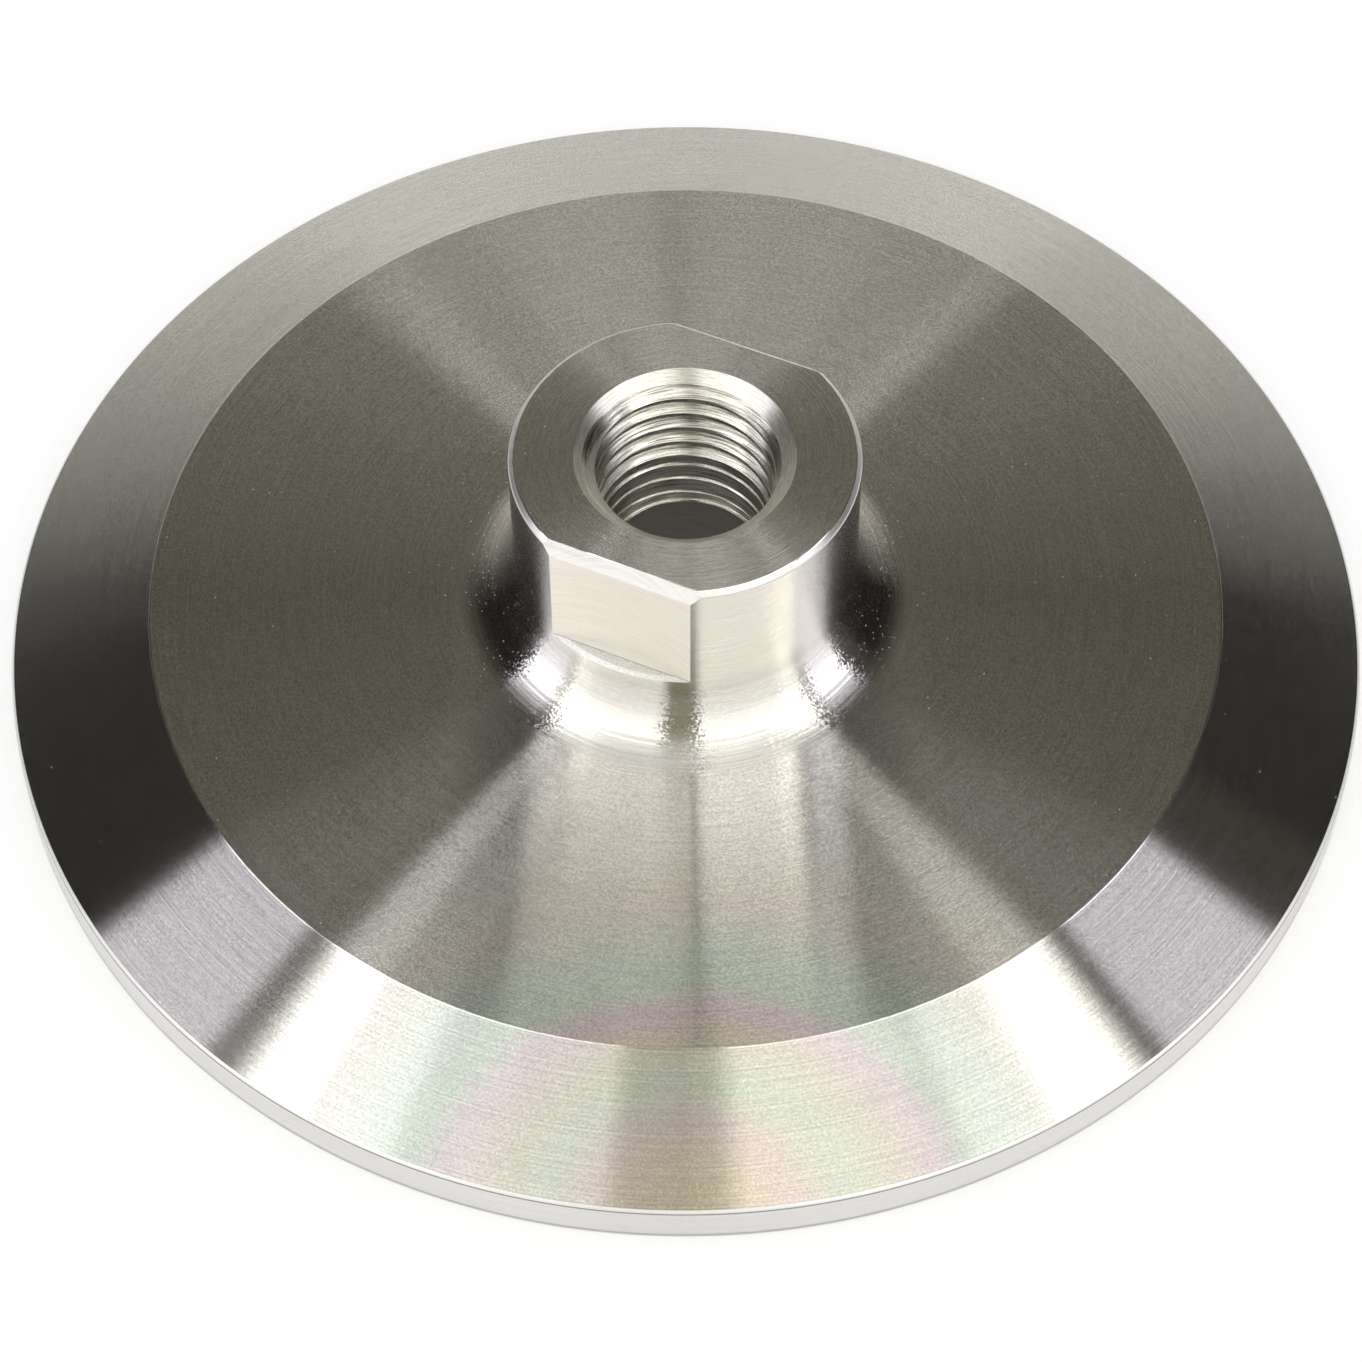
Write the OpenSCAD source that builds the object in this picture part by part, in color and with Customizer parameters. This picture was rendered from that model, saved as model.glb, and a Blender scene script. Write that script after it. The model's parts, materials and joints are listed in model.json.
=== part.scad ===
// Sanitary clamp threaded adapter: one piece turned from stainless bar.
// A bevelled clamp flange carries a short round hub with two wrench flats and
// a countersunk pipe-threaded port that runs on through the sealing face.
// The origin is the centre of the sealing face, +Z runs up the port's axis,
// and the flats face -Y and +Y. Millimetres.

/* [Flange] */
// Outside diameter of the clamp rim
flange_d = 91; // [86:0.5:98]
// Height of the rim's straight side, below the bevel
rim_h = 2.85; // [2:0.05:3.6]
// Thickness of the flange at its flat upper face
flange_h = 6.35; // [5:0.05:8]
// Slope of the clamp bevel, in degrees from the flat
bevel_angle = 20; // [15:0.5:25]
// Rounding of the two edges of the rim
rim_edge_r = 0.3; // [0.1:0.05:0.6]

/* [Sealing face] */
// Mean diameter of the gasket groove
groove_d = 83.5; // [70:0.5:84]
// Radius of the groove's round bottom
groove_r = 2.3; // [1.5:0.1:2.6]
// Depth of the groove below the sealing face
groove_depth = 1.6; // [0.6:0.1:2]

/* [Hub] */
// Outside diameter of the hub
hub_d = 22.8; // [21:0.1:28]
// Height from the sealing face to the top of the hub
total_h = 20.5; // [18:0.1:40]
// Chamfer around the top of the hub
hub_chamfer = 0.4; // [0.2:0.05:0.8]
// Radius of the blend from the hub into the flange
neck_r = 3.8; // [1:0.1:6]

/* [Wrench flats] */
// Distance across the two flats
across_flats = 20.6; // [18:0.1:20.8]
// Length of the flats, down from the top of the hub
flat_h = 9.3; // [5:0.1:10]
// How far the edge break on top of each flat cuts into the top face
flat_break_w = 0.45; // [0.2:0.05:1]
// How far the edge break on top of each flat reaches down
flat_break_h = 1; // [0.3:0.05:1.5]

/* [Port] */
// Diameter over the crests of the pipe thread
thread_crest_d = 11.1; // [10:0.1:12.5]
// Depth below the hub's top at which the thread ends
thread_depth = 11.7; // [8:0.1:15]
// Diameter of the drilled passage below the thread
passage_d = 10.72; // [6:0.02:12]
// Diameter of the countersink at the top of the hub
sink_d = 14.4; // [13:0.1:17]
// Full angle of the countersink, in degrees
sink_angle = 90; // [60:5:100]
// Edge break where the passage opens in the sealing face
passage_chamfer = 0.3; // [0.1:0.05:0.6]

/* [Hidden] */
$fn = 128;

// Overlap that keeps cuts and joined shapes clear of shared faces
lap = 1;

rim_r = flange_d / 2;
hub_r = hub_d / 2;
crest_r = thread_crest_d / 2;
passage_r = passage_d / 2;
sink_r = sink_d / 2;

// Radius at which the bevel meets the flange's flat upper face
face_r = rim_r - (flange_h - rim_h) / tan(bevel_angle);

sink_depth = (sink_r - crest_r) / tan(sink_angle / 2);
thread_end_z = total_h - thread_depth;
flat_bottom_z = total_h - flat_h;

// Distance from the corner between rim and bevel to where its rounding ends
bevel_edge_cut = rim_edge_r * tan((90 - bevel_angle) / 2);

// Section of the flange, from the axis out to the rim
module flange_section() {
    polygon([
        [0, 0],
        [rim_r - rim_edge_r, 0],
        [rim_r - rim_edge_r, rim_edge_r],
        [rim_r, rim_edge_r],
        [rim_r, rim_h - bevel_edge_cut],
        [rim_r - rim_edge_r, rim_h - bevel_edge_cut],
        [rim_r - bevel_edge_cut * cos(bevel_angle), rim_h + bevel_edge_cut * sin(bevel_angle)],
        [face_r, flange_h],
        [0, flange_h]
    ]);
    // Round bottom edge of the rim
    translate([rim_r - rim_edge_r, rim_edge_r])
        circle(r = rim_edge_r);
    // Round edge between the rim and the bevel
    translate([rim_r - rim_edge_r, rim_h - bevel_edge_cut])
        circle(r = rim_edge_r);
}

// Section of the hub, chamfered at its top
module hub_section() {
    polygon([
        [0, flange_h - lap],
        [hub_r, flange_h - lap],
        [hub_r, total_h - hub_chamfer],
        [hub_r - hub_chamfer, total_h],
        [0, total_h]
    ]);
}

// Section of the hollow blend between the hub's wall and the flange's face
module neck_section() {
    difference() {
        translate([hub_r - lap, flange_h - lap])
            square([neck_r + lap, neck_r + lap]);
        translate([hub_r + neck_r, flange_h + neck_r])
            circle(r = neck_r);
    }
}

// Half-round groove in the sealing face that holds the gasket's bead
module groove_section() {
    translate([groove_d / 2, groove_depth - groove_r])
        circle(r = groove_r);
}

// Section of the port: chamfer, drilled passage, threaded length, countersink
module port_section() {
    polygon([
        [0, -lap],
        [passage_r + passage_chamfer + lap, -lap],
        [passage_r, passage_chamfer],
        [passage_r, thread_end_z],
        [crest_r, thread_end_z],
        [crest_r, total_h - sink_depth],
        [sink_r, total_h],
        [sink_r, total_h + lap],
        [0, total_h + lap]
    ]);
}

// One wrench flat with the edge break above it, drawn as a bar to be cut away
module flat_cut() {
    half = across_flats / 2;
    reach = hub_r + lap;
    rotate([90, 0, 90])
        translate([0, 0, -reach])
            linear_extrude(height = 2 * reach)
                polygon([
                    [half, flat_bottom_z],
                    [reach, flat_bottom_z],
                    [reach, total_h + lap],
                    [half - flat_break_w, total_h + lap],
                    [half - flat_break_w, total_h],
                    [half, total_h - flat_break_h]
                ]);
}

module adapter_body() {
    color([0.74, 0.73, 0.71])
        difference() {
            rotate_extrude() {
                difference() {
                    union() {
                        flange_section();
                        hub_section();
                        neck_section();
                    }
                    groove_section();
                    port_section();
                }
            }
            for (side = [0, 180])
                rotate([0, 0, side])
                    flat_cut();
        }
}

adapter_body();
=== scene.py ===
import bmesh
import bpy
import json
from math import atan, cos, degrees, pi, radians, sin, sqrt, tan
from mathutils import Matrix, Vector


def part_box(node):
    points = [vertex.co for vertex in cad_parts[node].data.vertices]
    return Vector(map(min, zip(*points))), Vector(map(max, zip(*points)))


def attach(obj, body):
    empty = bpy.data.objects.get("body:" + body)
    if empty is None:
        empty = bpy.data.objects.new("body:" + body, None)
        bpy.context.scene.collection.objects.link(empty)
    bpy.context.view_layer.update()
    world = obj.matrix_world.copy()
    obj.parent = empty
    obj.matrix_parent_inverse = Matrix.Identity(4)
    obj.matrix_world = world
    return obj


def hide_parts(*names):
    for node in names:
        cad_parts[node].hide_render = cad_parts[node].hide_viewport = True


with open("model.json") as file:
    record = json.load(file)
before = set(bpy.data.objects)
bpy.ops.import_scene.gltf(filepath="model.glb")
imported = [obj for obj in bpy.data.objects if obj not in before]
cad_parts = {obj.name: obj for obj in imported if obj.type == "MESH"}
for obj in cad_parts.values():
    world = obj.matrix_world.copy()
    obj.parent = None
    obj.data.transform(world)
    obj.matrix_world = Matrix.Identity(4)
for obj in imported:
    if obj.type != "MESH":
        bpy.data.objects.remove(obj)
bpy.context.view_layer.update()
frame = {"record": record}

# Turned stainless clamp adapter: bevelled flange, hub with wrench flats, tapped port.
# Lengths in the dictionaries are millimetres, angles are degrees.

mm = 0.001
mounts = {m["name"]: m for m in frame["record"]["mounts"]}
low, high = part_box("adapter_body")

flange = {
    "radius": (high.x - low.x) / 2 / mm,
    "rimHeight": 2.85,
    "height": 6.35,
    "bevelAngle": 20.0,
    "edgeRound": 0.3,
    "faceRound": 0.12,          # the soft line between the bevel and the flat face
}

groove = {
    "middle": mounts["gasket_groove"]["pos_m"][0] / mm,
    "round": 2.3,
    "depth": mounts["gasket_groove"]["pos_m"][2] / mm,
}

hub = {
    "radius": 11.4,
    "top": high.z / mm,
    "chamfer": 0.34,
    "neck": 3.8,                # fillet at the hub's foot
    "edgeRound": 0.05,
    "paintedBurrHighlight": 0.14,               # rounding of the edge between chamfer and wall, which carries a painted highlight
}

flats = {
    "half": -mounts["wrench_flats"]["pos_m"][1] / mm,
    "length": 9.3,
    "breakWidth": 0.45,
    "breakHeight": 1.0,
    "edgeRound": 0.06,
}

port = {
    "crest": mounts["pipe_thread"]["dims"]["r_mm"],
    "crestAtTop": 5.85,         # the crests open out a little, as a taper thread's do
    "passage": mounts["passage"]["dims"]["r_mm"],
    "sink": 7.2,
    "threadDepth": 11.7,
    "mouthChamfer": 0.3,
}

thread = {
    "pitch": 25.4 / 18,
    "rootAtTop": 6.81,          # radius over the roots, at the hub's top
    "taper": 1 / 32,            # on the radius
    "rootFlat": 0.05,
    "turnsLeft": (0, 0.3, 1.3, 2.3, 3.3),          # the last roots grow shallow
    "depthShare": (0, 0.28, 0.34, 0.38, 1.0),
    "perTurn": 96,
}

lathe = {"around": 480, "arcStep": 12.0, "support": 0.06}


def reportStage(text):
    print("stage:", text)


def between(value, table, results):
    for k in range(len(table) - 1):
        if value <= table[k + 1]:
            share = (value - table[k]) / (table[k + 1] - table[k])
            return results[k] + (results[k + 1] - results[k]) * share
    return results[-1]


reportStage("frame loaded")


# Camera

view = {
    "distance": 278.7,
    "elevation": 53.74,
    "azimuth": 23.9,            # the flats stand turned by this to the lens
    "aim": (-0.32, -3.23, 0.0),
    "roll": -0.25,
    "focalPixels": 4078.0,
    "imagePixels": 1362.0,
}

turnTable = Matrix.Rotation(radians(view["azimuth"]), 4, "Z")


def placeCamera():
    data = bpy.data.cameras.new("photoCamera")
    data.sensor_width = 36.0
    data.lens = view["focalPixels"] / view["imagePixels"] * data.sensor_width
    data.clip_start = 0.01
    data.clip_end = 20.0
    camera = bpy.data.objects.new("photoCamera", data)
    bpy.context.scene.collection.objects.link(camera)
    tilt = radians(view["elevation"])
    place = Vector((0, -cos(tilt), sin(tilt))) * view["distance"] * mm
    look = Vector(view["aim"]) * mm - place
    spin = look.to_track_quat("-Z", "Y").to_matrix().to_4x4()
    roll = Matrix.Rotation(radians(view["roll"]), 4, "Z")
    camera.matrix_world = turnTable @ Matrix.Translation(place) @ spin @ roll
    bpy.context.scene.camera = camera


placeCamera()
reportStage("camera")


# Node helpers

def newMaterial(name):
    material = bpy.data.materials.new(name)
    material.use_nodes = True
    tree = material.node_tree
    tree.nodes.clear()
    return material, tree


def addNode(tree, kind, inputs=None, **settings):
    node = tree.nodes.new(kind)
    for key, value in settings.items():
        setattr(node, key, value)
    for key, value in (inputs or {}).items():
        if isinstance(value, bpy.types.NodeSocket):
            tree.links.new(value, node.inputs[key])
        else:
            node.inputs[key].default_value = value
    return node


def mathNode(tree, operation, first, second=0.0, third=0.0):
    node = tree.nodes.new("ShaderNodeMath")
    node.operation = operation
    for place, value in enumerate((first, second, third)):
        if isinstance(value, bpy.types.NodeSocket):
            tree.links.new(value, node.inputs[place])
        else:
            node.inputs[place].default_value = value
    return node.outputs[0]


def mapRange(tree, value, fromLow, fromHigh, toLow, toHigh):
    node = addNode(tree, "ShaderNodeMapRange", {0: value, 1: fromLow, 2: fromHigh, 3: toLow, 4: toHigh})
    return node.outputs[0]


def turnCoordinates(tree):
    place = addNode(tree, "ShaderNodeTexCoord").outputs["Object"]
    split = addNode(tree, "ShaderNodeSeparateXYZ", {0: place})
    x, y, z = split.outputs
    radius = mathNode(tree, "SQRT", mathNode(tree, "ADD", mathNode(tree, "MULTIPLY", x, x), mathNode(tree, "MULTIPLY", y, y)))
    angle = mathNode(tree, "ARCTAN2", y, x)
    return place, radius, angle, z


# Metal: each ring that the tool left leans a little its own way, which spreads reflections
# across the rings and keeps them sharp along them

finish = {
    "turned": {"color": (0.79, 0.78, 0.76), "rough": 0.16, "fine": 1.2, "lines": 0.08, "side": 0.006, "speckle": 0.13,
        "streak": 0.08, "arcs": 5.0, "paintedSheen": 1.5},
    "bevel": {"color": (0.735, 0.73, 0.715), "rough": 0.16, "fine": 1.25, "lines": 0.03, "side": 0.003,
        "speckle": 0.1, "streak": 0.07, "arcs": 6.0, "paintedSheen": 1.1},
    "wall": {"color": (0.765, 0.75, 0.715), "rough": 0.16, "fine": 1.1, "lines": 0.2, "side": 0.01, "speckle": 0.03},
    "neck": {"color": (0.78, 0.77, 0.75), "rough": 0.15, "fine": 1.05, "lines": 0.25, "side": 0.05, "streak": 0.08, "sparkle": 0.16},
    "faced": {"color": (0.93, 0.93, 0.92), "rough": 0.2, "grain": 0.9, "fine": 0.95, "lines": 0.2, "side": 0.04, "speckle": 0.09, "streak": 0.1, "arcs": 6.0},
    "chamfer": {"color": (0.80, 0.79, 0.77), "rough": 0.32, "grain": 0.5, "fine": 0.7, "lines": 0.2, "side": 0.32, "metallic": 0.8},
    "sink": {"color": (0.745, 0.745, 0.70), "rough": 0.32, "grain": 0.5, "fine": 0.9, "lines": 0.5, "side": 0.2, "streak": 0.25, "arcs": 8.0},
    "ledge": {"color": (0.73, 0.735, 0.725), "rough": 0.5, "grain": 0.3, "fine": 0.2, "lines": 0.1, "side": 0.02, "speckle": 0.1},
    "milled": {"color": (0.97, 0.92, 0.835), "rough": 0.42, "grain": 0.4, "fine": 0.2, "metallic": 0.5, "speckle": 0.03},
    "break": {"color": (0.97, 0.96, 0.93), "rough": 0.35, "grain": 0.5, "fine": 0.2, "speckle": 0.02},
    "tapped": {"color": (0.84, 0.82, 0.74), "rough": 0.25, "grain": 0.6, "fine": 0.7, "lines": 1.2, "side": 0.16,
        "speckle": 0.08, "streak": 0.85, "arcs": 2.5},
    "drilled": {"color": (0.54, 0.53, 0.49), "rough": 0.42, "grain": 0.5, "fine": 0.4, "lines": 0.6, "streak": 0.15},
    # painted highlight: a matte white on the edge between the hub's chamfer and wall stands in for the bright line
    # that edge catches
    "paintedBurrHighlight": {"color": (0.93, 0.92, 0.90), "rough": 0.6, "grain": 0.0, "fine": 0.1, "lines": 0.3, "metallic": 0.0},
    # painted highlight: a near-white on the upper part of the rim's rounding stands in for the bright line it catches
    "rimPaintedHighlight": {"color": (0.97, 0.97, 0.96), "rough": 0.4, "grain": 0.3, "fine": 0.2, "lines": 0.2, "metallic": 0.4},
    # painted reflection: a dark brown line along the lower part of the rim's rounding stands in for a dark reflection
    "rimPaintedDarkLine": {"color": (0.34, 0.31, 0.26), "rough": 0.4, "grain": 0.3, "fine": 0.2, "lines": 0.2},
    "rim": {"color": (0.78, 0.77, 0.755), "rough": 0.22, "fine": 0.7, "lines": 0.14, "side": 0.01, "speckle": 0.02},
}

usual = {
    "rough": 0.2, "grain": 1.0, "fine": 1.0, "lines": 0.1, "side": 0.02, "metallic": 1.0,
    "speckle": 0.04, "streak": 0.06, "arcs": 3.0, "sparkle": 0.0, "paintedSheen": 0.0,
}


# where the bevel meets the flange's flat face
lipRadius = (flange["radius"] - (flange["height"] - flange["rimHeight"]) / tan(radians(flange["bevelAngle"]))) * mm


def noiseLine(tree, value, perMetre, detail=0.0):
    node = addNode(tree, "ShaderNodeTexNoise", {"W": mathNode(tree, "MULTIPLY", value, perMetre), "Detail": detail},
        noise_dimensions="1D")
    return mathNode(tree, "SUBTRACT", node.outputs[0], 0.5)


def scratches(tree, place, radius, step, perRadian):
    # fine lines along the rings, each a short arc
    split = addNode(tree, "ShaderNodeSeparateXYZ", {0: place}).outputs
    share = mathNode(tree, "DIVIDE", perRadian, mathNode(tree, "MAXIMUM", radius, 0.001))
    spot = addNode(tree, "ShaderNodeCombineXYZ", {
        0: mathNode(tree, "MULTIPLY", split[0], share), 1: mathNode(tree, "MULTIPLY", split[1], share),
        2: mathNode(tree, "MULTIPLY", step, 9000.0)}).outputs[0]
    node = addNode(tree, "ShaderNodeTexNoise", {"Vector": spot, "Scale": 1.0, "Detail": 1.0})
    return mathNode(tree, "SUBTRACT", node.outputs[0], 0.5)


def scaled(tree, vector, amount):
    return addNode(tree, "ShaderNodeVectorMath", {0: vector, 3: amount}, operation="SCALE").outputs[0]


def added(tree, first, second):
    return addNode(tree, "ShaderNodeVectorMath", {0: first, 1: second}, operation="ADD").outputs[0]


# Painted reflection: rainbow rings fixed on the flange, standing in for the iridescence that its fine tool rings show
# in the light
paintedSheen = {
    "azimuth": 294.4,           # centre of the painted rainbow rings on the flange
    "radius": 45.4,
    "stretch": 1.25,            # the rings are wider along the rim than across it
    "reach": 25.0,
    "tints": [
        (0.00, (1.09, 1.01, 0.84)), (0.12, (1.09, 0.99, 0.86)), (0.20, (1.07, 0.96, 0.95)), (0.30, (0.97, 1.04, 0.95)),
        (0.37, (1.02, 1.01, 0.93)), (0.43, (1.05, 0.98, 0.95)), (0.495, (1.05, 0.95, 1.03)), (0.572, (0.95, 1.04, 0.985)),
        (0.65, (0.955, 1.03, 1.0)), (0.73, (0.985, 1.01, 0.985)), (0.81, (1.02, 0.985, 0.98)), (0.89, (1.01, 1.0, 0.98)),
        (1.00, (1.0, 1.0, 1.0)),
    ],
}

specks = {"perMetre": 5200.0, "size": 0.22, "share": 0.008, "shareNearNeck": 0.32}


def paintedRainbowSheen(tree, color, place, strength):
    # painted reflection: rainbow colours in rings around one place on the flange, standing in for the iridescence of
    # the fine tool rings
    a = radians(paintedSheen["azimuth"])
    split = addNode(tree, "ShaderNodeSeparateXYZ", {0: place})
    x, y, z = split.outputs
    outward = mathNode(tree, "ADD", mathNode(tree, "MULTIPLY", x, cos(a)), mathNode(tree, "MULTIPLY", y, sin(a)))
    along = mathNode(tree, "SUBTRACT", mathNode(tree, "MULTIPLY", y, cos(a)), mathNode(tree, "MULTIPLY", x, sin(a)))
    outward = mathNode(tree, "SUBTRACT", outward, paintedSheen["radius"] * mm)
    along = mathNode(tree, "MULTIPLY", along, 1 / paintedSheen["stretch"])
    away = mathNode(tree, "SQRT", mathNode(tree, "ADD", mathNode(tree, "MULTIPLY", outward, outward),
        mathNode(tree, "MULTIPLY", along, along)))
    waver = addNode(tree, "ShaderNodeTexNoise", {"Vector": place, "Scale": 120.0, "Detail": 2.0}).outputs[0]
    share = mathNode(tree, "ADD", mathNode(tree, "MULTIPLY", away, 1 / (paintedSheen["reach"] * mm)), mapRange(tree, waver, 0.3, 0.7, -0.015, 0.015))
    ramp = tree.nodes.new("ShaderNodeValToRGB")
    tree.links.new(share, ramp.inputs[0])
    while len(ramp.color_ramp.elements) < len(paintedSheen["tints"]):
        ramp.color_ramp.elements.new(0.5)
    for element, (position, tint) in zip(ramp.color_ramp.elements, paintedSheen["tints"]):
        element.position = position
        element.color = (*[1 + (part - 1) * strength for part in tint], 1.0)
    both = addNode(tree, "ShaderNodeMix", {0: 1.0, 6: color, 7: ramp.outputs[0]}, data_type="RGBA", blend_type="MULTIPLY")
    return both.outputs[2]


def specked(tree, surface, place, radius):
    # dust and burr ends: pale dots, thicker around the foot of the hub
    cells = addNode(tree, "ShaderNodeTexVoronoi", {"Vector": place, "Scale": specks["perMetre"]})
    pick = addNode(tree, "ShaderNodeSeparateColor", {0: cells.outputs["Color"]})
    far = mathNode(tree, "ABSOLUTE", mathNode(tree, "SUBTRACT", radius, 0.0132))
    clump = addNode(tree, "ShaderNodeTexNoise", {"Vector": place, "Scale": 350.0, "Detail": 2.0}).outputs[0]
    share = mapRange(tree, far, 0.0, 0.0030, specks["shareNearNeck"], specks["share"])
    share = mathNode(tree, "MULTIPLY", share, mapRange(tree, clump, 0.4, 0.62, 0.1, 1.9))
    chosen = mathNode(tree, "LESS_THAN", pick.outputs[0], share)
    size = mapRange(tree, pick.outputs[1], 0.0, 1.0, specks["size"] * 0.3, specks["size"])
    dot = mathNode(tree, "LESS_THAN", cells.outputs["Distance"], size)
    dust = addNode(tree, "ShaderNodeBsdfDiffuse", {"Color": (0.68, 0.68, 0.67, 1.0)})
    both = addNode(tree, "ShaderNodeMixShader", {0: mathNode(tree, "MULTIPLY", chosen, dot), 1: surface, 2: dust.outputs[0]})
    return both.outputs[0]


def steel(name, given):
    spec = {**usual, **given}
    material, tree = newMaterial(name)
    place, radius, angle, height = turnCoordinates(tree)
    step = mathNode(tree, "ADD", radius, height)
    tangent = addNode(tree, "ShaderNodeTangent", direction_type="RADIAL", axis="Z").outputs[0]
    normal = addNode(tree, "ShaderNodeNewGeometry").outputs["Normal"]
    across = addNode(tree, "ShaderNodeVectorMath", {0: tangent, 1: normal}, operation="CROSS_PRODUCT").outputs[0]
    spot = addNode(tree, "ShaderNodeCombineXYZ", {
        0: mathNode(tree, "MULTIPLY", step, 160000.0), 1: mathNode(tree, "MULTIPLY", angle, 1700.0)}).outputs[0]
    fine = addNode(tree, "ShaderNodeTexNoise", {"Vector": spot, "Scale": 1.0, "Detail": 0.0}, noise_dimensions="2D")
    fine = mathNode(tree, "SUBTRACT", fine.outputs[0], 0.5)
    lines = noiseLine(tree, step, 2600.0, 1.0)
    lean = mathNode(tree, "ADD", mathNode(tree, "MULTIPLY", fine, spec["fine"]), mathNode(tree, "MULTIPLY", lines, spec["lines"]))
    if spec["paintedSheen"]:
        lip = mathNode(tree, "ABSOLUTE", mathNode(tree, "SUBTRACT", radius, lipRadius))
        lean = mathNode(tree, "ADD", lean, mapRange(tree, lip, 0.0, 0.00008, 0.55, 0.0))
    if name.startswith("faced"):
        side = mathNode(tree, "ABSOLUTE", addNode(tree, "ShaderNodeSeparateXYZ", {0: place}).outputs[1])
        edge = (flats["half"] - flats["breakWidth"]) * mm
        lean = mathNode(tree, "ADD", lean, mapRange(tree, side, edge - 0.00012, edge - 0.00004, 0.0, 0.6))
    if name.startswith("ledge"):
        lean = mathNode(tree, "ADD", lean, mapRange(tree, radius, (hub["radius"] - 0.5) * mm, (hub["radius"] - 0.3) * mm, 0.0, 0.9))
    swing = mathNode(tree, "MULTIPLY", noiseLine(tree, step, 5200.0, 1.0), spec["side"])
    if spec["sparkle"]:
        pits = addNode(tree, "ShaderNodeTexNoise", {"Vector": place, "Scale": 6500.0, "Detail": 1.0}).outputs[0]
        swing = mathNode(tree, "ADD", swing, mathNode(tree, "MULTIPLY", mathNode(tree, "SUBTRACT", pits, 0.5), spec["sparkle"]))
    bent = added(tree, normal, added(tree, scaled(tree, across, lean), scaled(tree, tangent, swing)))
    bent = addNode(tree, "ShaderNodeVectorMath", {0: bent}, operation="NORMALIZE").outputs[0]
    stain = addNode(tree, "ShaderNodeTexNoise", {"Vector": place, "Scale": 60.0, "Detail": 4.0}).outputs[0]
    grain = addNode(tree, "ShaderNodeTexNoise", {"Vector": place, "Scale": 6500.0, "Detail": 1.0}).outputs[0]
    streak = mathNode(tree, "ADD", lines, scratches(tree, place, radius, step, spec["arcs"]))
    value = mathNode(tree, "ADD", mapRange(tree, grain, 0.3, 0.7, -spec["speckle"], spec["speckle"]),
        mapRange(tree, streak, -0.3, 0.3, 1 - spec["streak"], 1 + spec["streak"]))
    tint = addNode(tree, "ShaderNodeHueSaturation", {"Color": (*spec["color"], 1.0), "Value": value}).outputs[0]
    # painted reflection: rainbow colours laid over the turned face and the bevel
    if spec["paintedSheen"]:
        tint = paintedRainbowSheen(tree, tint, place, spec["paintedSheen"])
    if name.startswith("milled"):
        # painted shade: the flat darkens to 0.3 over its lowest 0.1 mm, in the corner where it meets the ledge
        paintedCornerShade = mapRange(tree, height, (hub["top"] - flats["length"]) * mm, (hub["top"] - flats["length"] + 0.1) * mm, 0.3, 1.0)
        tint = addNode(tree, "ShaderNodeHueSaturation", {"Color": tint, "Value": paintedCornerShade}).outputs[0]
    rough = mathNode(tree, "ADD", mapRange(tree, stain, 0.3, 0.7, -0.015, 0.015), spec["rough"])
    shader = addNode(tree, "ShaderNodeBsdfPrincipled", {
        "Base Color": tint, "Metallic": spec["metallic"], "Roughness": rough,
        "Anisotropic": spec["grain"], "Anisotropic Rotation": 0.25, "Normal": bent, "Tangent": tangent})
    surface = specked(tree, shader.outputs[0], place, radius)
    addNode(tree, "ShaderNodeOutputMaterial", {"Surface": surface})
    return material


metals = {name: steel(name + "Stainless", spec) for name, spec in finish.items()}
metalOrder = list(metals)
reportStage("metal finishes")


# Lathe profile of the body, as a closed loop of (radius, height) with the rounding of each corner

def bodyCorners():
    rim = flange["radius"]
    top = hub["top"]
    sinkDepth = port["sink"] - port["crestAtTop"]
    threadEnd = top - port["threadDepth"]
    grooveHalf = sqrt(groove["round"] ** 2 - (groove["round"] - groove["depth"]) ** 2)
    corners = [
        (port["passage"], threadEnd, 0),
        (port["passage"], port["mouthChamfer"], 0.05),
        (port["passage"] + port["mouthChamfer"], 0, 0.05),
        (groove["middle"] - grooveHalf, 0, 0.1),
    ]
    reach = atan(grooveHalf / (groove["round"] - groove["depth"]))
    for i in range(1, 12):
        swing = -reach + 2 * reach * i / 12
        corners.append((groove["middle"] + groove["round"] * sin(swing),
            groove["depth"] - groove["round"] + groove["round"] * cos(swing), 0))
    corners += [
        (groove["middle"] + grooveHalf, 0, 0.1),
        (rim, 0, flange["edgeRound"]),
        (rim, flange["rimHeight"], flange["edgeRound"]),
        (lipRadius / mm, flange["height"], flange["faceRound"]),
        (hub["radius"], flange["height"], hub["neck"]),
        (hub["radius"], top - hub["chamfer"], hub["paintedBurrHighlight"]),
        (hub["radius"] - hub["chamfer"], top, hub["edgeRound"]),
        (port["sink"], top, 0.05),
        (port["crestAtTop"], top - sinkDepth, 0.03),
        (port["crest"], threadEnd, 0),
    ]
    return corners


def roundedLoop(corners):
    points = []
    count = len(corners)
    for i, (r, z, rounding) in enumerate(corners):
        here = Vector((r, z))
        before = Vector(corners[i - 1][:2]) - here
        after = Vector(corners[(i + 1) % count][:2]) - here
        if rounding == 0:
            points.append(here)
            continue
        inner = before.angle(after) / 2
        cut = rounding / tan(inner)
        middle = here + (before.normalized() + after.normalized()).normalized() * rounding / sin(inner)
        start = here + before.normalized() * cut
        end = here + after.normalized() * cut
        steps = max(2, int((180 - 2 * degrees(inner)) / lathe["arcStep"]) + 1)
        if rounding > 1:
            steps *= 3
        gap = min(lathe["support"], (before.length - cut) * 0.3)
        points.append(start + before.normalized() * gap)
        sweep = (start - middle).angle_signed(end - middle)
        for k in range(steps + 1):
            points.append(middle + Matrix.Rotation(-sweep * k / steps, 2) @ (start - middle))
        gap = min(lathe["support"], (after.length - cut) * 0.3)
        points.append(end + after.normalized() * gap)
    return points


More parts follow.
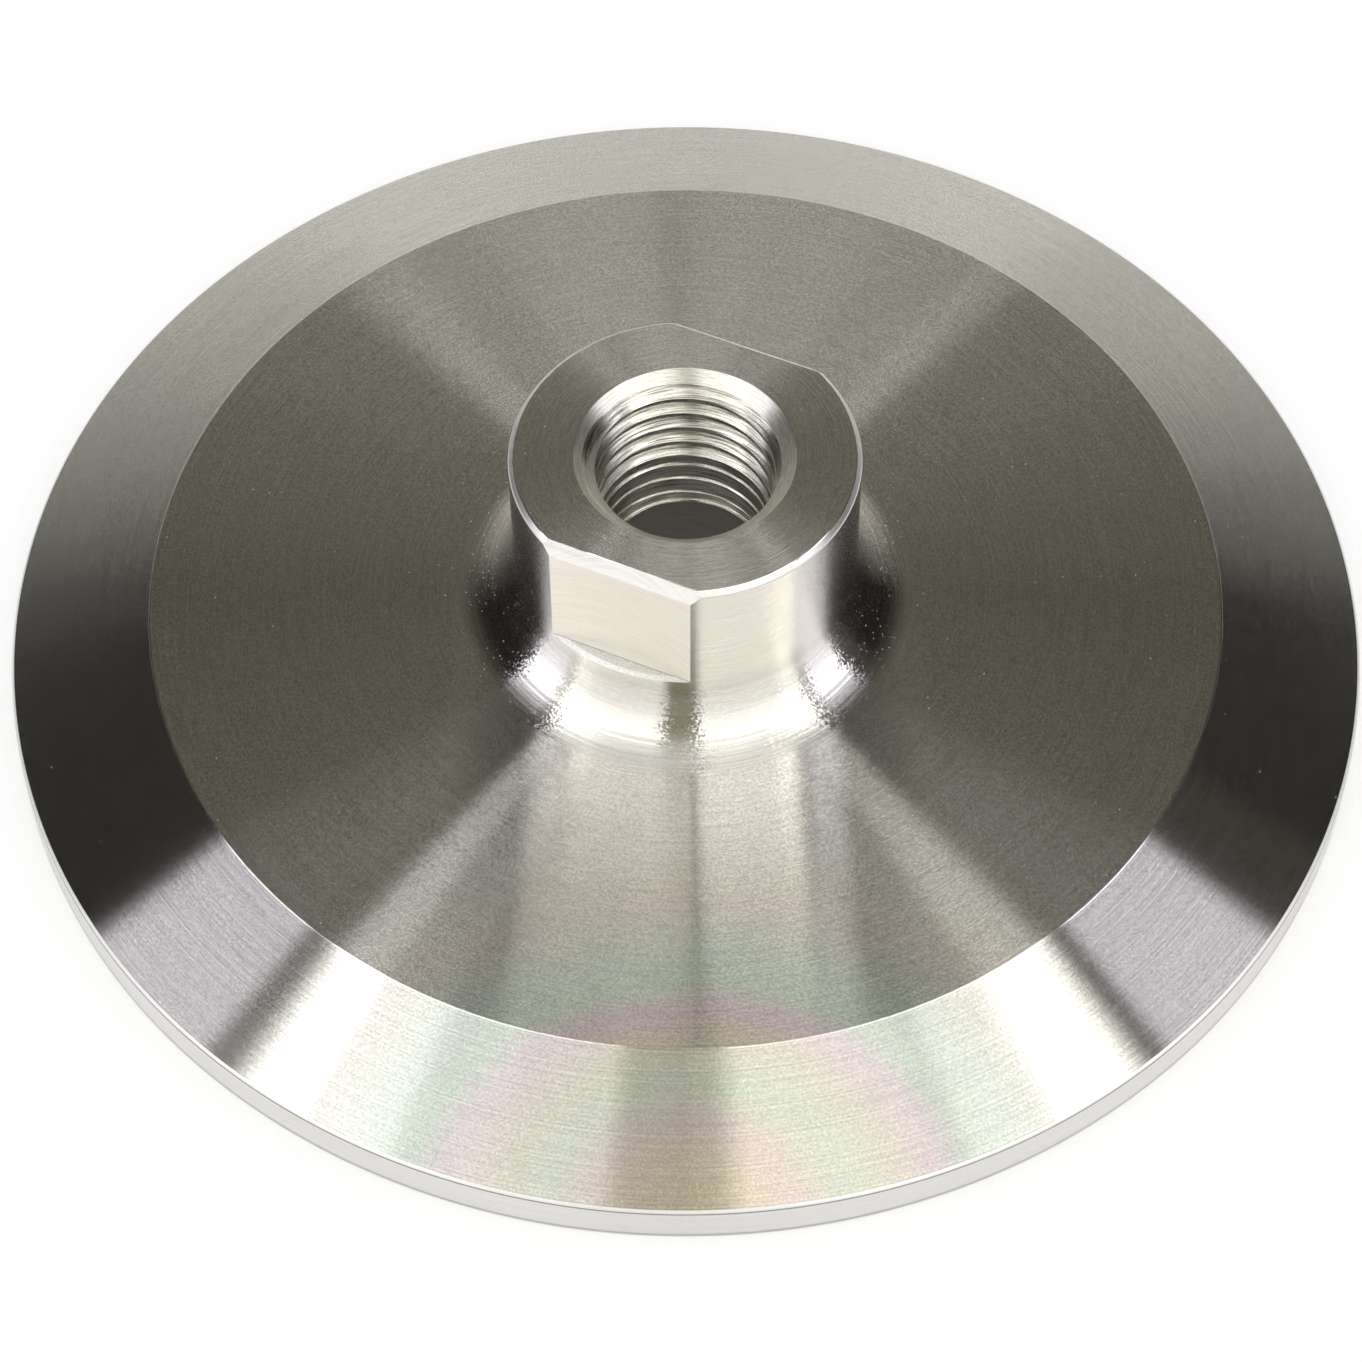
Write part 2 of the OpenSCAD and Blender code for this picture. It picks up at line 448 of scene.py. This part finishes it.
def turnedMesh(name, loop, around):
    mesh = bmesh.new()
    rings = []
    for i in range(around):
        a = 2 * pi * i / around
        rings.append([mesh.verts.new((p.x * mm * cos(a), p.x * mm * sin(a), p.y * mm)) for p in loop])
    for i in range(around):
        one, two = rings[i], rings[(i + 1) % around]
        for k in range(len(loop)):
            n = (k + 1) % len(loop)
            mesh.faces.new((one[k], two[k], two[n], one[n]))
    bmesh.ops.recalc_face_normals(mesh, faces=mesh.faces)
    return toObject(name, mesh)


def toObject(name, mesh):
    data = bpy.data.meshes.new(name)
    mesh.to_mesh(data)
    mesh.free()
    piece = bpy.data.objects.new(name, data)
    bpy.context.scene.collection.objects.link(piece)
    return piece


def cutAway(piece, tool):
    change = piece.modifiers.new("cut", "BOOLEAN")
    change.operation = "DIFFERENCE"
    change.solver = "MANIFOLD"
    change.object = tool
    with bpy.context.temp_override(object=piece, active_object=piece):
        bpy.ops.object.modifier_apply(modifier=change.name)
    bpy.data.objects.remove(tool)


def flatCutter(side):
    mesh = bmesh.new()
    half, reach, top = flats["half"], hub["radius"] + 1, hub["top"]
    outline = [
        (half, top - flats["length"]), (reach, top - flats["length"]), (reach, top + 1),
        (half - flats["breakWidth"], top + 1), (half - flats["breakWidth"], top), (half, top - flats["breakHeight"]),
    ]
    ends = []
    for x in (-reach, reach):
        ends.append([mesh.verts.new((x * mm, side * y * mm, z * mm)) for y, z in outline])
    for k in range(len(outline)):
        n = (k + 1) % len(outline)
        mesh.faces.new((ends[0][k], ends[0][n], ends[1][n], ends[1][k]))
    mesh.faces.new(ends[0])
    mesh.faces.new(ends[1])
    bmesh.ops.recalc_face_normals(mesh, faces=mesh.faces)
    return toObject("flatCutter", mesh)


def threadCutter():
    mesh = bmesh.new()
    pitch, top = thread["pitch"], hub["top"]
    start = top + pitch
    turns = (start - (top - port["threadDepth"])) / pitch - 0.3
    steps = int(turns * thread["perTurn"])
    widest = pitch / 2 - 0.02
    sections = []
    for i in range(steps + 1):
        turn = i / thread["perTurn"]
        a = -2 * pi * turn
        z = start - pitch * turn
        root = thread["rootAtTop"] - (top - z) * thread["taper"]
        left = turns - turn
        root = port["crest"] - 0.08 + (root - port["crest"] + 0.08) * between(left, thread["turnsLeft"], thread["depthShare"])
        halfRoot = thread["rootFlat"] / 2
        bend = root - (widest - halfRoot) / tan(radians(30))
        inside = min(bend, port["crest"]) - 0.25
        outline = [(inside, -widest), (bend, -widest), (root, -halfRoot), (root, halfRoot), (bend, widest), (inside, widest)]
        sections.append([mesh.verts.new((r * mm * cos(a), r * mm * sin(a), (z + h) * mm)) for r, h in outline])
    for one, two in zip(sections, sections[1:]):
        for k in range(6):
            n = (k + 1) % 6
            mesh.faces.new((one[k], one[n], two[n], two[k]))
    mesh.faces.new(sections[0])
    mesh.faces.new(sections[-1])
    bmesh.ops.recalc_face_normals(mesh, faces=mesh.faces)
    return toObject("threadCutter", mesh)


def assignMetals(piece):
    piece.data.materials.clear()
    for name in metalOrder:
        piece.data.materials.append(metals[name])
    top = hub["top"] * mm
    threadEnd = (hub["top"] - port["threadDepth"]) * mm
    flatLow = (hub["top"] - flats["length"]) * mm
    for face in piece.data.polygons:
        c = face.center
        radius = sqrt(c.x ** 2 + c.y ** 2)
        lean = face.normal.z
        kind = "bevel" if radius > lipRadius and lean > 0.1 else "turned"
        if radius > (flange["radius"] - 0.25) * mm and 0.00001 < c.z < (flange["rimHeight"] + 0.15) * mm:
            kind = "rim"
            # the upper rim rounding gets a painted highlight, its lower part a painted dark reflection line
            if c.z > 0.002 and lean > 0.05:
                kind = "rimPaintedHighlight" if lean > 0.45 else "rimPaintedDarkLine"
                if lean > 0.935:
                    kind = "bevel"
        if abs(radius - hub["radius"] * mm) < 0.0002 and c.z > (flange["height"] + hub["neck"]) * mm:
            # the rounded edge at the hub's top gets a painted highlight
            kind = "paintedBurrHighlight" if 0.03 < lean < 0.69 and c.z > top - 0.001 else "wall"
            if 0.69 < lean < 0.9:
                kind = "chamfer"
        if radius < (hub["radius"] + hub["neck"]) * mm and c.z < (flange["height"] + hub["neck"]) * mm:
            kind = "neck"
        if radius < (port["sink"] + 0.02) * mm and c.z > 0.0001:
            kind = "tapped" if c.z > threadEnd - 0.0001 else "drilled"
            if face.normal.z > 0.6 and abs(radius - port["sink"] * mm + top - c.z) < 0.00004:
                kind = "sink"
        elif c.z > top - 0.0001:
            kind = "faced"
        elif c.z > flatLow - 0.0001 and abs(c.y) > (flats["half"] - flats["breakWidth"]) * mm - 0.00001 and (
                abs(face.normal.y) > 0.99 or abs(abs(c.y) - flats["half"] * mm) < 0.000002 or
                (face.normal.z > 0.99 and c.z < flatLow + 0.0001) or
                (c.z > top - flats["breakHeight"] * mm and abs(face.normal.x) < 0.001)):
            kind = "milled"
            if lean > 0.99 and c.z < flatLow + 0.0001:
                kind = "ledge"
            if 0.2 < lean < 0.8:
                kind = "break"
        face.material_index = metalOrder.index(kind)


body = turnedMesh("adapterBody", roundedLoop(bodyCorners()), lathe["around"])
reportStage("body turned, %d faces" % len(body.data.polygons))
for side in (-1, 1):
    cutAway(body, flatCutter(side))
reportStage("flats milled, %d faces" % len(body.data.polygons))
cutAway(body, threadCutter())
reportStage("thread tapped, %d faces" % len(body.data.polygons))
body.data.shade_smooth()
body.data.set_sharp_from_angle(angle=radians(28))
assignMetals(body)
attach(body, "root")
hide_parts("adapter_body")


# Studio: a pale floor under a hood of cloth, lit in patches.
# Each patch is given by the surfaces that mirror it: the way they face and how far they lean.

studio = {
    "radius": 1.5,
    "floorSize": 6.0,
    "floorColor": (0.93, 0.93, 0.93),
    "floorGlow": 0.3,
    "sheetRadius": 0.10,        # past it the mirrored floor is dark, but not in front
    "sheetFront": 0.35,
    "frontHalf": 56.3,          # degrees to each side of the lens
    "skyGlow": 1.0,
    "fill": 0.8,
    "columns": 480,
    "rows": 52,
    "dim": (0.0135, 0.012, 0.011),
    "catchLean": (0, 6, 14, 28, 42, 90),
    "catchRadius": (24, 24, 40, 40, 14, 12),
}

cream = (1.02, 1.0, 0.93)
lilac = (1.0, 0.965, 1.02)
sand = (1.02, 1.0, 0.95)
plain = (1.0, 1.0, 0.975)
olive = (1.0, 0.93, 0.54)
khaki = (1.0, 0.975, 0.73)
dusk = (1.06, 1.01, 0.88)

# azimuth from, to; lean from, to; level; width of the soft edge in azimuth and in lean; tint
patches = {
    "tentTip": (250, 270, 5, 13, 0.5, 8, 5, cream),
    "tentTipRight": (272.7, 290, 5, 13, 0.5, 0.6, 5, cream),
    "tentLeftEdge": (232.6, 238, 12, 31, 2.6, 0.8, 4, plain),
    "tentLeft": (238, 246, 14, 31, 1.8, 3, 4, plain),
    "tentLeftMiddle": (246, 254, 14, 31, 1.0, 4, 4, plain),
    "tentLeftInner": (254, 262, 14, 31, 0.78, 4, 4, plain),
    "tentStripeTop": (262, 270, 12, 17, 0.9, 0.6, 2, cream),
    "tentRightMiddleTop": (272.7, 285, 12, 17, 0.95, 0.6, 2, cream),
    "tentStripe": (262, 270.6, 17, 31, 0.6, 1.5, 2, cream),
    "tentRightMiddle": (270.4, 285, 17, 31, 0.98, 0.8, 2, cream),
    "tentRightInner": (285, 292, 14, 31, 1.05, 2, 4, cream),
    "tentRight": (292.5, 301, 14, 31, 1.5, 2, 4, cream),
    "tentRightEdge": (301, 308.4, 12, 31, 2.5, 2, 4, cream),
    "frontLowLeftEdge": (231.1, 238, 31, 46, 2.8, 1.2, 4, cream),
    "frontLowLeft": (238, 263.5, 31, 46, 2.1, 3, 4, cream),
    "frontLowRight": (274, 301, 31, 46, 2.15, 2.5, 4, cream),
    "frontLowRightEdge": (301, 309.8, 31, 46, 3.0, 1.2, 4, cream),
    "frontLowestLeft": (231, 263.5, 46, 66, 1.0, 3, 4, cream),
    "frontFootLeft": (231, 263.5, 66, 90, 1.25, 3, 4, cream),
    "frontLowestRight": (274, 309, 46, 66, 1.0, 2.5, 4, cream),
    "frontFootRight": (274, 309, 66, 90, 1.25, 2.5, 4, cream),
    "stripeLow": (263.5, 274, 31, 90, 0.22, 3, 4, olive),
    "leftGap": (227.5, 232, 31, 54, 0.85, 1.5, 5, sand),
    "leftPanel": (213.7, 228, 24, 32, 1.78, 1, 2.5, lilac),
    "leftPanelLow": (214.4, 228, 32, 54, 1.88, 1.2, 5, lilac),
    "leftPanelFoot": (213.9, 228, 54, 90, 1.35, 1.5, 8, lilac),
    "rightPanel": (311.8, 326.1, 24, 32, 1.8, 1, 2.5, lilac),
    "rightPanelLow": (311.9, 325.6, 32, 54, 1.9, 1.2, 5, lilac),
    "rightPanelFoot": (311.5, 325.3, 54, 90, 1.22, 1.5, 8, lilac),
    "besideLeft": (164, 184, 20, 90, 0.05, 9, 8, dusk),
    "besideRight": (325, 335, 20, 90, 0.05, 4, 8, dusk),
    "backHigh": (50, 130, 5, 17, 0.27, 16, 6, sand),
    "backWall": (48, 132, 17, 90, 1.37, 30, 6, dusk),
    "backWallLeft": (132, 158, 14, 90, 0.61, 26, 8, dusk),
    "backWallRight": (22, 48, 14, 90, 0.65, 26, 8, dusk),
    "backEndLeft": (158, 174, 13, 90, 0.16, 14, 8, dusk),
    "backEndRight": (4, 22, 13, 90, 0.155, 14, 8, dusk),
    "faceGlow": (0, 360, 0, 6, 0.158, 0, 5, khaki),
}

lensPlace = Vector((0, -cos(radians(view["elevation"])), sin(radians(view["elevation"])))) * view["distance"] * mm


def mirrored(azimuth, lean):
    # where the lens looks by way of a surface that faces this azimuth and leans this far from level
    a, t = radians(azimuth), radians(lean)
    reach = between(lean, studio["catchLean"], studio["catchRadius"]) * mm
    place = Vector((reach * cos(a), reach * sin(a), 5 * mm))
    toLens = (lensPlace - place).normalized()
    normal = Vector((sin(t) * cos(a), sin(t) * sin(a), cos(t)))
    return place + (normal * (2 * normal.dot(toLens)) - toLens) * studio["radius"]


def horizonLean(azimuth):
    lowLean, highLean = 20.0, 75.0
    for k in range(20):
        middle = (lowLean + highLean) / 2
        if mirrored(azimuth, middle).z > -0.01:
            lowLean = middle
        else:
            highLean = middle
    return lowLean


def ramp(value, edge, width):
    share = min(1.0, max(0.0, (value - edge) / max(width, 0.01) + 0.5))
    return share * share * (3 - 2 * share)


def glowAt(azimuth, lean):
    total = Vector(studio["dim"])
    for azFrom, azTo, leanFrom, leanTo, level, softAz, softLean, tint in patches.values():
        share = ramp(azimuth, azFrom, softAz) * ramp(-azimuth, -azTo, softAz)
        if azFrom == 0 and azTo == 360:
            share = 1.0
        if leanFrom > 0:
            share *= ramp(lean, leanFrom, softLean)
        if leanTo < 90:
            share *= ramp(-lean, -leanTo, softLean)
        total += Vector(tint) * level * share
    return total


def litHood():
    mesh = bmesh.new()
    layer = mesh.verts.layers.float_color.new("glow")
    columns = []
    for i in range(studio["columns"]):
        azimuth = 360 * i / studio["columns"]
        last = horizonLean(azimuth)
        column = []
        for k in range(studio["rows"] + 1):
            lean = last * k / studio["rows"]
            vertex = mesh.verts.new(turnTable @ mirrored(azimuth, lean))
            vertex[layer] = (*glowAt(azimuth, lean), 1.0)
            column.append(vertex)
        columns.append(column)
    top = mesh.verts.new((columns[0][0].co + columns[studio["columns"] // 2][0].co) / 2)
    top[layer] = (*glowAt(90, 0), 1.0)
    for i in range(studio["columns"]):
        one, two = columns[i], columns[(i + 1) % studio["columns"]]
        mesh.faces.new((top, one[0], two[0]))
        for k in range(studio["rows"]):
            mesh.faces.new((one[k], one[k + 1], two[k + 1], two[k]))
    hood = toObject("litHood", mesh)
    material, tree = newMaterial("litCloth")
    color = addNode(tree, "ShaderNodeAttribute", attribute_name="glow").outputs["Color"]
    glow = addNode(tree, "ShaderNodeEmission", {"Color": color, "Strength": 1.0})
    addNode(tree, "ShaderNodeOutputMaterial", {"Surface": glow.outputs[0]})
    material.cycles.emission_sampling = "NONE"
    hood.data.materials.append(material)
    hood.visible_camera = False
    hood.visible_diffuse = False
    hood.visible_shadow = False
    return hood


def paleFloor():
    mesh = bmesh.new()
    half = studio["floorSize"] / 2
    mesh.faces.new([mesh.verts.new((x * half, y * half, -0.00005)) for x, y in ((-1, -1), (1, -1), (1, 1), (-1, 1))])
    floor = toObject("paleFloor", mesh)
    material, tree = newMaterial("paleFloor")
    path = addNode(tree, "ShaderNodeLightPath")
    seen = mathNode(tree, "MAXIMUM", path.outputs["Is Camera Ray"], path.outputs["Is Glossy Ray"])
    seen = mathNode(tree, "MAXIMUM", seen, path.outputs["Is Transmission Ray"])
    place, radius, angle, height = turnCoordinates(tree)
    outsidePaintedShadow = mathNode(tree, "GREATER_THAN", radius, flange["radius"] * mm)     # painted shadow: the floor's glow is cut off under the part
    aside = mathNode(tree, "ABSOLUTE", mathNode(tree, "SUBTRACT", angle, radians(view["azimuth"] - 90)))
    front = mathNode(tree, "LESS_THAN", aside, radians(studio["frontHalf"]))
    edge = mapRange(tree, front, 0.0, 1.0, studio["sheetRadius"], studio["sheetFront"])
    nearby = mathNode(tree, "LESS_THAN", radius, edge)
    pale = mathNode(tree, "MAXIMUM", nearby, path.outputs["Is Camera Ray"])
    level = mathNode(tree, "MULTIPLY", mathNode(tree, "MULTIPLY", seen, outsidePaintedShadow), mathNode(tree, "MULTIPLY", pale, studio["floorGlow"]))
    glow = addNode(tree, "ShaderNodeEmission", {"Color": (1, 1, 1, 1), "Strength": level})
    tone = addNode(tree, "ShaderNodeMix", {0: pale, 6: (0.06, 0.06, 0.06, 1), 7: (*studio["floorColor"], 1)}, data_type="RGBA")
    paper = addNode(tree, "ShaderNodeBsdfDiffuse", {"Color": tone.outputs[2]})
    both = addNode(tree, "ShaderNodeAddShader", {0: paper.outputs[0], 1: glow.outputs[0]})
    addNode(tree, "ShaderNodeOutputMaterial", {"Surface": both.outputs[0]})
    floor.data.materials.append(material)
    return floor


def studioWorld():
    world = bpy.data.worlds.new("studioWorld")
    bpy.context.scene.world = world
    world.use_nodes = True
    tree = world.node_tree
    tree.nodes.clear()
    path = addNode(tree, "ShaderNodeLightPath")
    seen = mathNode(tree, "MAXIMUM", path.outputs["Is Camera Ray"], path.outputs["Is Glossy Ray"])
    seen = mathNode(tree, "MAXIMUM", seen, path.outputs["Is Transmission Ray"])
    level = mapRange(tree, seen, 0.0, 1.0, studio["fill"], studio["skyGlow"])
    sky = addNode(tree, "ShaderNodeBackground", {"Color": (1, 1, 1, 1), "Strength": level})
    addNode(tree, "ShaderNodeOutputWorld", {"Surface": sky.outputs[0]})


paleFloor()
studioWorld()
litHood()
bpy.context.scene.view_settings.view_transform = "Standard"
reportStage("studio")
